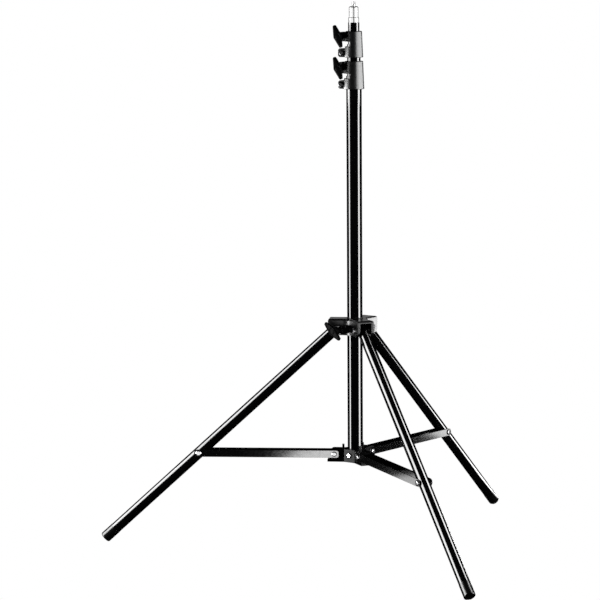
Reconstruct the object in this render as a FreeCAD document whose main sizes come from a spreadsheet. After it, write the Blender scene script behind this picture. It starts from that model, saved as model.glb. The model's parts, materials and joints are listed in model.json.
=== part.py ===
"""Telescoping tripod light stand, as a parametric FreeCAD document.

Millimetres, +Z up. The origin is on the floor, at the middle of the box round the three feet. The
column stands a little way along +X from it, and the legs point to 180, 300 and 60 degrees. Every
piece is made round the column's axis, and moves onto the column's spot when it is finished. Every
size is driven by the cells of the Dimensions sheet.
"""

import FreeCAD, Part
import os
import re
import Sketcher

DIMENSIONS = (
    # telescoping column
    ("column_offset", 107.6, "axis of the column from the origin, along X"),
    ("outer_tube_diameter", 26.0, "outside diameter of the fixed tube"),
    ("middle_tube_diameter", 22.5, "outside diameter of the middle tube"),
    ("inner_tube_diameter", 19.0, "outside diameter of the inner tube"),
    ("tube_wall", 1.5, "wall of every tube"),
    ("running_gap", 0.05, "radial gap of every running fit"),
    ("outer_tube_bottom", 152.0, "lower end of the fixed tube"),
    ("outer_tube_top", 804.0, "upper end of the fixed tube"),
    ("middle_tube_bottom", 195.0, "lower end of the middle tube"),
    ("middle_tube_top", 857.0, "upper end of the middle tube"),
    ("inner_tube_bottom", 250.0, "lower end of the inner tube"),
    ("inner_tube_top", 893.0, "upper end of the inner tube"),
    # spigot
    ("stud_diameter", 15.9, "five eighths of an inch"),
    ("stud_flange_diameter", 17.7, "collar under the stud"),
    ("stud_bottom", 902.0, "top of the flange"),
    ("stud_top", 920.0, "shoulder of the stud"),
    ("thread_diameter", 6.2, "quarter inch thread"),
    ("thread_top", 928.0, "highest point of the stand"),
    # clamp collars
    ("collar_lug_azimuth", 162.0, "direction of the split in both collars"),
    ("collar_wall", 4.4, "wall of a collar at its foot"),
    ("collar_taper", 1.9, "how much smaller in radius a collar is at its top"),
    ("lug_reach", 25.5, "outer end of the lugs from the column axis"),
    ("lug_width", 16.0, "width across both lugs"),
    ("split_width", 2.4, "gap between the lugs"),
    ("clamp_bolt_radius", 3.0, "bolts of the wing knobs"),
    ("clamp_bolt_offset", 19.8, "clamp bolt from the column axis"),
    ("fixing_screw_radius", 2.0, "screws through the lower lugs"),
    ("lower_collar_bottom", 782.0, "lower collar"),
    ("lower_collar_slot", 800.0, "foot of the lower collar's relief slot"),
    ("lower_collar_top", 829.0, "lower collar"),
    ("lower_collar_bolt", 817.5, "height of the lower clamp bolt"),
    ("upper_collar_bottom", 835.0, "upper collar"),
    ("upper_collar_slot", 853.5, "foot of the upper collar's relief slot"),
    ("upper_collar_top", 879.0, "upper collar"),
    ("upper_collar_bolt", 870.5, "height of the upper clamp bolt"),
    ("relief_slot_height", 8.0, "height of the relief slots"),
    # wing knobs
    ("collar_wing_length", 39.0, "tip to tip of a collar's wing knob"),
    ("collar_wing_width", 15.0, "width of its wings"),
    ("collar_wing_plane", 19.4, "middle of the wings from the column axis"),
    ("wing_thickness", 5.0, "thickness of the wings"),
    ("yoke_wing_length", 42.0, "tip to tip of the yoke's wing knob"),
    ("yoke_wing_width", 16.0, "width of its wings"),
    ("yoke_wing_plane", 55.0, "middle of its wings from the column axis"),
    ("yoke_knob_azimuth", 233.0, "direction of the yoke's wing knob"),
    # yoke
    ("yoke_bottom", 366.5, "lower face of the leg yoke"),
    ("yoke_top", 394.0, "upper face of the leg yoke"),
    ("yoke_bore", 29.0, "bore of the yoke, around its liner"),
    ("yoke_reach", 44.5, "outer end of a fork from the column axis"),
    ("yoke_fork_width", 30.0, "outside width of a fork"),
    ("yoke_slot_width", 21.0, "inside width of a fork"),
    ("yoke_slot_root", 18.5, "inner end of a fork's slot from the column axis"),
    ("yoke_slot_top", 389.7, "underside of the plate over a fork"),
    # legs
    ("leg_azimuth_left", 180.0, "left leg"),
    ("leg_azimuth_front", 300.0, "front leg"),
    ("leg_azimuth_rear", 60.0, "rear leg"),
    ("leg_diameter", 19.0, "outside diameter of a leg tube"),
    ("leg_angle", 47.5, "lean of a leg from the vertical, in degrees"),
    ("leg_length", 546.0, "pivot to the lower end of the tube"),
    ("leg_head", 6.0, "tube above its pivot"),
    ("leg_pivot_radius", 31.0, "leg pivot from the column axis"),
    ("leg_pivot_height", 377.0, "leg pivot above the floor"),
    ("leg_brace_distance", 323.0, "leg pivot to the brace's rivet"),
    ("pivot_bolt_radius", 3.0, "bolts of the leg pivots"),
    ("foot_cap_end", 549.5, "pivot to the end of the rubber foot"),
    ("foot_cap_radius", 9.8, "outside radius of the rubber foot"),
    # braces
    ("brace_inner_width", 20.5, "between the cheeks of a brace"),
    ("brace_sheet", 1.2, "thickness of the brace's sheet"),
    ("brace_height", 12.4, "height of a brace's section"),
    ("brace_pivot_radius", 35.0, "brace pivot from the column axis"),
    ("brace_pivot_height", 160.8, "brace pivot above the floor"),
    ("brace_web_start", 10.7, "inner end of the web from the brace's pivot"),
    ("brace_web_cut", 80.0, "web cut back from the rivet at the leg"),
    # lower bracket
    ("bracket_bottom", 147.5, "lower face of the bracket"),
    ("bracket_top", 169.5, "upper face of the bracket"),
    ("bracket_flat", 17.8, "flats between the tongues, from the column axis"),
    ("bracket_tongue_width", 20.0, "width of a tongue"),
    ("bracket_tongue_reach", 43.5, "outer end of a tongue"),
    ("bracket_lip_reach", 47.0, "outer end of the lip under a tongue"),
    ("bracket_lip_top", 151.5, "top of that lip"),
    ("bracket_post_top", 177.0, "top of the stop posts at the roots of the tongues"),
)

ROUND_Z = "vector(0; 0; 1)"
ROUND_Y = "vector(0; 1; 0)"
ROUND_X = "vector(1; 0; 0)"
LEG_NAMES = ("left", "front", "rear")
FORK_AZIMUTHS = tuple(f"leg_azimuth_{name}" for name in LEG_NAMES)
COLUMN_RADIUS = "outer_tube_diameter / 2"
CLAMP_BOLT_HOLE = "(clamp_bolt_radius + running_gap)"
PIVOT_HOLE = "(pivot_bolt_radius + running_gap)"
UNTURNED = f"rotation({ROUND_Z}; 0)"
FAR = "2000"
CROSSWISE = "40"

# where a brace's rivet sits on its leg, and the brace's length and slope that follow from it
RIVET_RADIUS = "(leg_pivot_radius + leg_brace_distance * sin(leg_angle))"
RIVET_HEIGHT = "(leg_pivot_height - leg_brace_distance * cos(leg_angle))"
BRACE_RUN = f"({RIVET_RADIUS} - brace_pivot_radius)"
BRACE_DROP = f"(brace_pivot_height - {RIVET_HEIGHT})"
BRACE_LENGTH = f"sqrt({BRACE_RUN} ^ 2 + {BRACE_DROP} ^ 2)"
BRACE_SLOPE = f"atan({BRACE_DROP} / {BRACE_RUN})"

doc = FreeCAD.newDocument("LightStand")
sheet = doc.addObject("Spreadsheet::Sheet", "Dimensions")
for row, (alias, number, note) in enumerate(DIMENSIONS, start=1):
    sheet.set(f"A{row}", note)
    sheet.set(f"B{row}", str(number))
    sheet.setAlias(f"B{row}", alias)
doc.recompute()

ALIASES = {alias for alias, number, note in DIMENSIONS}
nodes = {}
places = {}


# ---------------------------------------------------------------- small tools


def from_sheet(formula):
    """The formula with each alias in it written as a cell of the sheet."""

    def cell(match):
        word = match.group(0)
        return f"Dimensions.{word}" if word in ALIASES else word

    return re.sub(r"[a-z_]+", cell, str(formula))


def bind(item, setting, formula):
    item.setExpression(setting, from_sheet(formula))


def place(item, azimuth="0", offset=("0", "0", "0"), turns=()):
    """Turn the item in its own frame, shift it, then swing it round the column to its azimuth."""
    turned = " * ".join(f"rotation({axis}; {angle})" for axis, angle in turns)
    swing = f"placement(vector(0; 0; 0); rotation({ROUND_Z}; {azimuth}))"
    local = f"placement(vector({'; '.join(offset)}); {turned or UNTURNED})"
    places[item.Name] = f"{swing} * {local}"
    bind(item, "Placement", places[item.Name])


def keep(item, node):
    """Name a finished sub-part, whose label is the name of its file, and move it to the column."""
    item.Label = node
    nodes[node] = item
    shift = f"placement(vector(column_offset; 0; 0); {UNTURNED})"
    own_place = places.get(item.Name)
    bind(item, "Placement", f"{shift} * {own_place}" if own_place else shift)


def new_body(name):
    return doc.addObject("PartDesign::Body", name)


def new_sketch(body, plane):
    """An empty sketch on one of the body's own origin planes."""
    sketch = body.newObject("Sketcher::SketchObject", "Sketch")
    origin = [item for item in body.Origin.OriginFeatures if item.Role == plane]
    sketch.AttachmentSupport = [(origin[0], "")]
    sketch.MapMode = "FlatFace"
    return sketch


def pin_point(sketch, geometry, vertex, number, across, up):
    """Hold one sketch point at two formulas, measured from the sketch's origin."""
    for kind, formula in (("DistanceX", across), ("DistanceY", up)):
        index = sketch.addConstraint(Sketcher.Constraint(kind, -1, 1, geometry, vertex, 1.0))
        sketch.renameConstraint(index, f"{kind}{number}")
        bind(sketch, f"Constraints.{kind}{number}", formula)


def outline(body, plane, corners):
    """A closed sketch of straight edges, each corner held at its pair of formulas."""
    sketch = new_sketch(body, plane)
    count = len(corners)
    start = [FreeCAD.Vector(10, 0, 0)]
    for corner in range(1, count):
        step = FreeCAD.Rotation(FreeCAD.Vector(0, 0, 1), 360 * corner / count)
        start.append(step.multVec(start[0]))
    for corner in range(count):
        sketch.addGeometry(Part.LineSegment(start[corner], start[(corner + 1) % count]), False)
    for corner in range(count):
        following = (corner + 1) % count
        sketch.addConstraint(Sketcher.Constraint("Coincident", corner, 2, following, 1))
    for corner, (across, up) in enumerate(corners):
        pin_point(sketch, corner, 1, corner, across, up)
    return sketch


def raise_sketch(sketch, height):
    """Lift a sketch above the plane that it lies on."""
    bind(sketch, "AttachmentOffset", f"placement(vector(0; 0; {height}); {UNTURNED})")


def circle(body, plane, across, up, radius):
    """A sketch of one circle."""
    sketch = new_sketch(body, plane)
    sketch.addGeometry(Part.Circle(FreeCAD.Vector(1, 1, 0), FreeCAD.Vector(0, 0, 1), 2), False)
    pin_point(sketch, 0, 3, 0, across, up)
    index = sketch.addConstraint(Sketcher.Constraint("Radius", 0, 2.0))
    sketch.renameConstraint(index, "CircleRadius")
    bind(sketch, "Constraints.CircleRadius", radius)
    return sketch


def revolve(body, corners, plane="XZ_Plane"):
    """A full turn of an outline about the plane's upright axis."""
    feature = body.newObject("PartDesign::Revolution", "Revolution")
    sketch = outline(body, plane, corners)
    feature.Profile = sketch
    feature.ReferenceAxis = (sketch, ["V_Axis"])
    feature.Angle = 360
    sketch.Visibility = False
    body.Tip = feature
    return feature


def pad(body, sketch, length):
    """Material to both sides of the sketch's plane."""
    feature = body.newObject("PartDesign::Pad", "Pad")
    feature.Profile = sketch
    feature.SideType = "Symmetric"
    bind(feature, "Length", length)
    body.Tip = feature
    return feature


def cut_through(body, sketch, length=FAR):
    """A pocket to both sides of the sketch's plane; it has to remove material."""
    doc.recompute()
    before = body.Shape.Volume
    feature = body.newObject("PartDesign::Pocket", "Pocket")
    feature.Profile = sketch
    feature.SideType = "Symmetric"
    bind(feature, "Length", length)
    body.Tip = feature
    doc.recompute()
    if body.Shape.Volume >= before:
        raise RuntimeError(f"{body.Name}: a pocket removed nothing")
    return feature


def three_round(body, features):
    """Repeat features at three equal steps round the column."""
    pattern = body.newObject("PartDesign::PolarPattern", "PolarPattern")
    pattern.Originals = features
    axis = [item for item in body.Origin.OriginFeatures if item.Role == "Z_Axis"]
    pattern.Axis = (axis[0], [""])
    pattern.Angle = 360
    pattern.Occurrences = 3
    body.Tip = pattern
    return pattern


def round_edges(body, radius, wanted, kind="Fillet"):
    """Round, or with kind Chamfer bevel, every edge of the body that wanted(edge) picks."""
    doc.recompute()
    base = body.Tip
    names = []
    for number, edge in enumerate(base.Shape.Edges, start=1):
        if wanted(edge):
            names.append(f"Edge{number}")
    if not names:
        raise RuntimeError(f"{body.Name}: no edge to round")
    feature = body.newObject(f"PartDesign::{kind}", kind)
    feature.Base = (base, names)
    bind(feature, "Radius" if kind == "Fillet" else "Size", radius)
    body.Tip = feature
    return feature


def ring(name, inner, outer, bottom, top):
    """A plain tube or ring about the upright axis; inner of 0 gives a solid rod."""
    body = new_body(name)
    revolve(body, ((inner, bottom), (outer, bottom), (outer, top), (inner, top)))
    return body


def cylinder(name, radius, length):
    item = doc.addObject("Part::Cylinder", name)
    bind(item, "Radius", radius)
    bind(item, "Height", length)
    return item


def box(name, sizes, corner):
    item = doc.addObject("Part::Box", name)
    for setting, formula in zip(("Length", "Width", "Height"), sizes):
        bind(item, setting, formula)
    place(item, offset=corner)
    return item


def cut(name, base, tool):
    item = doc.addObject("Part::Cut", name)
    item.Base = base
    item.Tool = tool
    return item


def fuse(name, pieces):
    item = doc.addObject("Part::MultiFuse", name)
    item.Shapes = pieces
    return item


def column_bore(name, radius, bottom, top):
    """A rod on the column's axis that reaches past both heights, to be cut away."""
    margin = "10"
    rod = cylinder(name, radius, f"{top} - {bottom} + 2 * {margin}")
    place(rod, offset=("0", "0", f"{bottom} - {margin}"))
    return rod


def group(name, pieces):
    """Separate solids that share one node."""
    item = doc.addObject("Part::Compound", name)
    item.Links = pieces
    return item


def value(alias):
    return float(sheet.get(alias))


def near(number, target, slack=0.01):
    return abs(number - target) < slack


def middle(edge):
    return edge.BoundBox.Center


def middle_radius(edge):
    """How far the middle of an edge is from the upright axis."""
    centre = middle(edge)
    return (centre.x ** 2 + centre.y ** 2) ** 0.5


def upright(edge):
    """True for a straight edge along Z."""
    span = edge.BoundBox
    return span.XLength < 0.01 and span.YLength < 0.01


def level_at(height):
    """A test that picks the edges which lie flat at one height."""

    def wanted(edge):
        return near(edge.BoundBox.ZMin, height) and near(edge.BoundBox.ZMax, height)

    return wanted


# ---------------------------------------------------------------- fasteners

NUT_HEIGHT = "5"
NUT_CIRCUMRADIUS = "5.75"
SMALL_NUT_CIRCUMRADIUS = "4.2"
HEAD_HEIGHT = "2.5"
HEAD_RADIUS = "5"
SCREW_HEAD_RADIUS = "4.6"
RECESS_LENGTH = "5"
RECESS_WIDTH = "1"
RECESS_DEPTH = "1.4"
SCREW_TAIL = "1"
DOME_SHARE = 0.8


def hex_nut(name, bore, circumradius=NUT_CIRCUMRADIUS):
    """A hexagon nut on the XY plane with its bore along Z."""
    block = doc.addObject("Part::Prism", f"{name}_block")
    block.Polygon = 6
    bind(block, "Circumradius", circumradius)
    bind(block, "Height", NUT_HEIGHT)
    return cut(name, block, cylinder(f"{name}_bore", bore, NUT_HEIGHT))


def rivet(name, shank_radius, shank_length, head_radius=HEAD_RADIUS, head_height=HEAD_HEIGHT):
    """A domed head above the XY plane with its shank hanging below."""
    body = new_body(name)
    revolve(body, (
        ("0", f"-({shank_length})"),
        (shank_radius, f"-({shank_length})"),
        (shank_radius, "0"),
        (head_radius, "0"),
        (head_radius, head_height),
        ("0", head_height),
    ))
    round_edges(body, DOME_SHARE * float(head_height), level_at(float(head_height)))
    return body


def cross_screw(name, shank_radius, shank_length):
    """A pan head screw with a cross recess, head up."""
    blades = []
    for length, width in ((RECESS_LENGTH, RECESS_WIDTH), (RECESS_WIDTH, RECESS_LENGTH)):
        corner = (f"-{length} / 2", f"-{width} / 2", f"{HEAD_HEIGHT} - {RECESS_DEPTH}")
        blades.append(box(f"{name}_recess", (length, width, HEAD_HEIGHT), corner))
    head = rivet(f"{name}_head", shank_radius, shank_length, SCREW_HEAD_RADIUS)
    return cut(name, head, fuse(f"{name}_cross", blades))


# ---------------------------------------------------------------- telescoping column

BUSH_FLANGE = "10"
BUSH_PLUG = "16"
BUSH_WALL = "2"
END_PLUG_DEPTH = "4"
END_PLUG_STEP = "0.2"
BRACKET_RIVET_RADIUS = "2"
BRACKET_RIVET_HEIGHT = "((bracket_bottom + bracket_top) / 2 + 1)"
STUD_PLUG_DEPTH = "30"
THREAD_CHAMFER = "0.8"
STUD_CHAMFER = "1"


def make_tube(node, diameter, bottom, top, holes=None):
    tube = ring(node, f"{diameter} / 2 - tube_wall", f"{diameter} / 2", bottom, top)
    if holes:
        tube = cut(f"{node}_drilled", tube, holes)
    keep(tube, node)


def make_guide_bush(node, tube_diameter, carrier_diameter, tube_bottom):
    """A plastic plug in a tube's lower end, with a flange that runs in the next larger tube."""
    bush = new_body(node)
    plug_radius = f"{tube_diameter} / 2 - tube_wall"
    flange_radius = f"{carrier_diameter} / 2 - tube_wall - running_gap"
    bore = f"{plug_radius} - {BUSH_WALL}"
    flange_bottom = f"{tube_bottom} - {BUSH_FLANGE}"
    plug_top = f"{tube_bottom} + {BUSH_PLUG}"
    revolve(bush, (
        (bore, flange_bottom),
        (flange_radius, flange_bottom),
        (flange_radius, tube_bottom),
        (plug_radius, tube_bottom),
        (plug_radius, plug_top),
        (bore, plug_top),
    ))
    keep(bush, node)


def bracket_rivet_shanks(name):
    """Three radial cylinders at the flats of the bracket: the holes of its rivets."""
    depth = "10"
    start = (f"bracket_flat - {depth}", "0", BRACKET_RIVET_HEIGHT)
    shanks = []
    for azimuth in FORK_AZIMUTHS:
        shank = cylinder(f"{name}_shank", BRACKET_RIVET_RADIUS, depth)
        place(shank, f"{azimuth} + 60", start, ((ROUND_Y, "90"),))
        shanks.append(shank)
    return group(name, shanks)


def make_column():
    make_tube("outer_tube", "outer_tube_diameter", "outer_tube_bottom", "outer_tube_top",
              bracket_rivet_shanks("tube_rivet_holes"))
    make_tube("middle_tube", "middle_tube_diameter", "middle_tube_bottom", "middle_tube_top")
    make_tube("inner_tube", "inner_tube_diameter", "inner_tube_bottom", "inner_tube_top")
    make_guide_bush("middle_tube_guide_bush", "middle_tube_diameter", "outer_tube_diameter",
                    "middle_tube_bottom")
    make_guide_bush("inner_tube_guide_bush", "inner_tube_diameter", "middle_tube_diameter",
                    "inner_tube_bottom")

    plug = new_body("outer_tube_end_plug")
    rim_radius = f"{COLUMN_RADIUS} - {END_PLUG_STEP}"
    plug_radius = f"{COLUMN_RADIUS} - tube_wall"
    plug_top = f"outer_tube_bottom + {END_PLUG_DEPTH}"
    revolve(plug, (
        ("0", "bracket_bottom"),
        (rim_radius, "bracket_bottom"),
        (rim_radius, "outer_tube_bottom"),
        (plug_radius, "outer_tube_bottom"),
        (plug_radius, plug_top),
        ("0", plug_top),
    ))
    keep(plug, "outer_tube_end_plug")


def make_spigot():
    """The five eighths stud with its flange, thread and the plug that holds it in the inner tube."""
    stud = new_body("spigot_stud")
    plug_radius = "inner_tube_diameter / 2 - tube_wall"
    plug_bottom = f"inner_tube_top - {STUD_PLUG_DEPTH}"
    revolve(stud, (
        ("0", plug_bottom),
        (plug_radius, plug_bottom),
        (plug_radius, "inner_tube_top"),
        ("stud_flange_diameter / 2", "inner_tube_top"),
        ("stud_flange_diameter / 2", "stud_bottom"),
        ("stud_diameter / 2", "stud_bottom"),
        ("stud_diameter / 2", "stud_top"),
        ("thread_diameter / 2", "stud_top"),
        ("thread_diameter / 2", "thread_top"),
        ("0", "thread_top"),
    ))
    round_edges(stud, THREAD_CHAMFER, level_at(value("thread_top")), "Chamfer")

    def stud_shoulder(edge):
        return level_at(value("stud_top"))(edge) and near(edge.BoundBox.XLength, value("stud_diameter"))

    round_edges(stud, STUD_CHAMFER, stud_shoulder, "Chamfer")
    keep(stud, "spigot_stud")


# ---------------------------------------------------------------- clamp collars

COLLAR_ROUNDING = "1.2"
LUG_ROOT = "0.5"
LUG_CHAMFER = "2.5"
LOWER_LUG_MARGINS = ("0.5", "3.5")
UPPER_LUG_MARGINS = ("0.3", "1.5")
FIXING_SCREW_OFFSET = "7.5"
FIXING_SCREW_RISE = "7.5"
PAST_LUGS = "(lug_reach + 5)"


def make_collar(side, gripped_diameter, sliding_diameter):
    """A tapered collar, split on one side. Its foot is screwed to the lower tube and its head, above
    a relief slot, clamps the sliding tube through a liner."""
    bottom, top, slot, bolt = (f"{side}_collar_{part}" for part in ("bottom", "top", "slot", "bolt"))
    bore = f"{gripped_diameter} / 2"
    slot_top = f"({slot} + relief_slot_height)"
    screw_offset = f"({bore} + {FIXING_SCREW_OFFSET})"
    screw_height = f"({bottom} + {FIXING_SCREW_RISE})"
    foot_radius = f"({bore} + collar_wall)"
    azimuth = "collar_lug_azimuth"

    body = new_body(f"{side}_collar_body")
    revolve(body, (
        (bore, bottom),
        (foot_radius, bottom),
        (f"{foot_radius} - collar_taper", top),
        (bore, top),
    ))

    def outer_rim(edge):
        span = edge.BoundBox
        return span.XLength > value(gripped_diameter) + 1 and span.ZLength < 0.01

    round_edges(body, COLLAR_ROUNDING, outer_rim)
    for floor, ceiling, (below, above) in (
        (bottom, slot, LOWER_LUG_MARGINS),
        (slot_top, top, UPPER_LUG_MARGINS),
    ):
        low = f"{floor} + {below}"
        high = f"{ceiling} - {above}"
        root = f"{bore} + {LUG_ROOT}"
        corners = ((root, low), ("lug_reach", low), ("lug_reach", high), (root, high))
        pad(body, outline(body, "XZ_Plane", corners), "lug_width")
    reach = value("lug_reach")

    def lug_corner(edge):
        span = edge.BoundBox
        return near(span.XMin, reach) and near(span.XMax, reach) and span.ZLength < 0.01

    round_edges(body, LUG_CHAMFER, lug_corner, "Chamfer")
    split_corners = (
        ("0", "-split_width / 2"),
        (PAST_LUGS, "-split_width / 2"),
        (PAST_LUGS, "split_width / 2"),
        ("0", "split_width / 2"),
    )
    cut_through(body, outline(body, "XY_Plane", split_corners))
    relief_corners = (
        ("-1", slot),
        (PAST_LUGS, slot),
        (PAST_LUGS, slot_top),
        ("-1", slot_top),
    )
    cut_through(body, outline(body, "XZ_Plane", relief_corners))
    cut_through(body, circle(body, "XZ_Plane", "clamp_bolt_offset", bolt, CLAMP_BOLT_HOLE))
    cut_through(body, circle(body, "XZ_Plane", screw_offset, screw_height, "fixing_screw_radius"))
    place(body, azimuth)
    keep(body, f"{side}_collar_body")

    liner_bore = f"{sliding_diameter} / 2 + running_gap"
    liner = ring(f"{side}_collar_liner", liner_bore, bore, slot_top, top)
    cut_through(liner, outline(liner, "XY_Plane", split_corners))
    place(liner, azimuth)
    keep(liner, f"{side}_collar_liner")

    nut = hex_nut(f"{side}_collar_clamp_nut", CLAMP_BOLT_HOLE)
    place(nut, azimuth, ("clamp_bolt_offset", "-lug_width / 2", bolt), ((ROUND_X, "90"),))
    keep(nut, f"{side}_collar_clamp_nut")

    screw_end = f"(lug_width / 2 + {NUT_HEIGHT} + {SCREW_TAIL})"
    shank = f"lug_width / 2 + {screw_end}"
    screw = cross_screw(f"{side}_collar_fixing_screw", "fixing_screw_radius", shank)
    place(screw, azimuth, (screw_offset, "lug_width / 2", screw_height), ((ROUND_X, "-90"),))
    keep(screw, f"{side}_collar_fixing_screw")
    nut_name = f"{side}_collar_fixing_nut"
    screw_nut = hex_nut(nut_name, "fixing_screw_radius", SMALL_NUT_CIRCUMRADIUS)
    place(screw_nut, azimuth, (screw_offset, "-lug_width / 2", screw_height), ((ROUND_X, "90"),))
    keep(screw_nut, nut_name)


# ---------------------------------------------------------------- wing knobs

HUB_INSET = "0.8"
HUB_TAPER = "1"
WING_TIP = "2.4"
WING_TIP_ROUNDING = "1.8"
BOLT_TAIL = "2"
COLLAR_KNOB_TILT = "109"
YOKE_KNOB_TILT = "52"


def wing_knob(name, length, width, hub_length):
    """A knob along +Z: a hub from the XY plane up to the wings, two wings that narrow to their tips,
    and a blind bore for its bolt. The wings run along X."""
    knob = new_body(name)
    half_length = f"({length}) / 2"
    half_width = f"({width}) / 2"
    wing_middle = f"({hub_length} + wing_thickness / 2)"
    hub_radius = f"({half_width} - {HUB_INSET})"
    hub_top = f"{hub_length} + wing_thickness"
    revolve(knob, (
        ("0", "0"),
        (f"{hub_radius} - {HUB_TAPER}", "0"),
        (hub_radius, hub_length),
        (hub_radius, hub_top),
        ("0", hub_top),
    ))
    wings = outline(knob, "XY_Plane", (
        ("0", f"-{half_width}"),
        (half_length, f"-{WING_TIP}"),
        (half_length, WING_TIP),
        ("0", half_width),
        (f"-{half_length}", WING_TIP),
        (f"-{half_length}", f"-{WING_TIP}"),
    ))
    raise_sketch(wings, wing_middle)
    pad(knob, wings, "wing_thickness")

    def wing_tip(edge):
        return upright(edge) and middle(edge).Length > value("collar_wing_width")

    round_edges(knob, WING_TIP_ROUNDING, wing_tip)
    bore = circle(knob, "XY_Plane", "0", "0", "clamp_bolt_radius")
    cut_through(knob, bore, f"2 * {hub_length}")
    return knob


def make_collar_knob(side):
    azimuth = "collar_lug_azimuth"
    bolt_height = f"{side}_collar_bolt"
    seat = "(lug_width / 2 + running_gap)"
    hub_length = f"(collar_wing_plane - wing_thickness / 2 - {seat})"
    stand = ((ROUND_X, "-90"), (ROUND_Z, COLLAR_KNOB_TILT))
    knob = wing_knob(f"{side}_collar_knob", "collar_wing_length", "collar_wing_width", hub_length)
    place(knob, azimuth, ("clamp_bolt_offset", seat, bolt_height), stand)
    keep(knob, f"{side}_collar_knob")
    shank = f"(lug_width / 2 + {NUT_HEIGHT} + {BOLT_TAIL})"
    bolt = cylinder(f"{side}_collar_knob_bolt", "clamp_bolt_radius", f"{shank} + {seat} + {hub_length}")
    place(bolt, azimuth, ("clamp_bolt_offset", f"-{shank}", bolt_height), ((ROUND_X, "-90"),))
    keep(bolt, f"{side}_collar_knob_bolt")


# ---------------------------------------------------------------- leg yoke

BOSS_RADIUS = "7"
BOSS_START = "10"
BOSS_END = "40"
INSERT_RADIUS = "4.6"
INSERT_START = "25"
YOKE_SCREW_TIP = "16.5"
PRESSURE_PAD_END = "16.2"
PRESSURE_PAD_GAP = "0.02"
LINER_STEP = "0.5"
KNOB_CLEARANCE = "1.5"
VALLEY_ROUNDING = "20"
EAR_ROUNDING = "8.5"
SHOULDER_ROUNDING = "3.2"
PIVOT_HEAD = ("5.2", "3")


def radial_rod(name, radius, start, end, height="leg_pivot_height"):
    """A rod that runs out from the column along the direction of the yoke's knob."""
    rod = cylinder(name, radius, f"{end} - {start}")
    place(rod, "yoke_knob_azimuth", (start, "0", height), ((ROUND_Y, "90"),))
    return rod


def make_yoke():
    """Three forks on one hub that slides on the column."""
    body = new_body("yoke_casting")
    half_fork = "(yoke_fork_width / 2)"
    corners = []
    for turn in (0, 120, 240):
        for across, up in (("yoke_reach", f"-{half_fork}"), ("yoke_reach", half_fork)):
            corners.append((
                f"({across}) * cos({turn}) - ({up}) * sin({turn})",
                f"({across}) * sin({turn}) + ({up}) * cos({turn})",
            ))
        valley = f"({half_fork} / sin(60))"
        corners.append((f"{valley} * cos({turn} + 60)", f"{valley} * sin({turn} + 60)"))
    plan = outline(body, "XY_Plane", corners)
    raise_sketch(plan, "(yoke_bottom + yoke_top) / 2")
    pad(body, plan, "yoke_top - yoke_bottom")

    reach = value("yoke_reach")
    root = value("yoke_slot_root")
    round_edges(body, VALLEY_ROUNDING, lambda edge: upright(edge) and middle_radius(edge) < root)
    slot = outline(body, "XZ_Plane", (
        ("yoke_slot_root", "yoke_bottom - 5"),
        ("yoke_reach + 5", "yoke_bottom - 5"),
        ("yoke_reach + 5", "yoke_slot_top"),
        ("yoke_slot_root", "yoke_slot_top"),
    ))
    three_round(body, [cut_through(body, slot, "yoke_slot_width")])

    def ear_bottom(edge):
        return level_at(value("yoke_bottom"))(edge) and middle_radius(edge) > reach

    round_edges(body, EAR_ROUNDING, ear_bottom)
    hole = circle(body, "XZ_Plane", "leg_pivot_radius", "leg_pivot_height", "pivot_bolt_radius")
    three_round(body, [cut_through(body, hole, "yoke_fork_width + 4")])
    round_edges(body, SHOULDER_ROUNDING, level_at(value("yoke_top")))
    place(body, "leg_azimuth_rear")

    boss = radial_rod("yoke_boss", BOSS_RADIUS, BOSS_START, BOSS_END)
    bore = column_bore("yoke_bore_tool", "yoke_bore / 2", "yoke_bottom", "yoke_top")
    insert_hole = radial_rod("yoke_insert_hole", INSERT_RADIUS, INSERT_START, BOSS_END)
    screw_hole = radial_rod("yoke_screw_hole", CLAMP_BOLT_HOLE, "0", INSERT_START)
    solid = fuse("yoke_with_boss", [body, boss])
    keep(cut("leg_yoke", solid, fuse("yoke_tools", [bore, insert_hole, screw_hole])), "leg_yoke")

    bore_radius = f"{COLUMN_RADIUS} + running_gap"
    sleeve = ring("yoke_sleeve", bore_radius, "yoke_bore / 2",
                  f"yoke_bottom + {LINER_STEP}", f"yoke_top - {LINER_STEP}")
    pad_hole = radial_rod("liner_hole", "clamp_bolt_radius", "0", INSERT_START)
    keep(cut("yoke_liner", sleeve, pad_hole), "yoke_liner")
    pad_radius = f"clamp_bolt_radius - {PRESSURE_PAD_GAP}"
    pressure_pad = radial_rod("pad_rod", pad_radius, bore_radius, PRESSURE_PAD_END)
    keep(pressure_pad, "yoke_pressure_pad")

    blank = radial_rod("insert_blank", INSERT_RADIUS, INSERT_START, BOSS_END)
    insert_bore = radial_rod("insert_bore", CLAMP_BOLT_HOLE, "0", BOSS_END)
    keep(cut("yoke_thread_insert", blank, insert_bore), "yoke_thread_insert")

    hub_start = f"({BOSS_END} + {KNOB_CLEARANCE})"
    hub_length = f"(yoke_wing_plane - wing_thickness / 2 - {hub_start})"
    stand = ((ROUND_Y, "90"), (ROUND_Z, YOKE_KNOB_TILT))
    knob = wing_knob("yoke_knob", "yoke_wing_length", "yoke_wing_width", hub_length)
    place(knob, "yoke_knob_azimuth", (hub_start, "0", "leg_pivot_height"), stand)
    keep(knob, "yoke_knob")
    bolt_end = f"({hub_start} + {hub_length})"
    keep(radial_rod("knob_bolt_rod", "clamp_bolt_radius", YOKE_SCREW_TIP, bolt_end), "yoke_knob_bolt")


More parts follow.
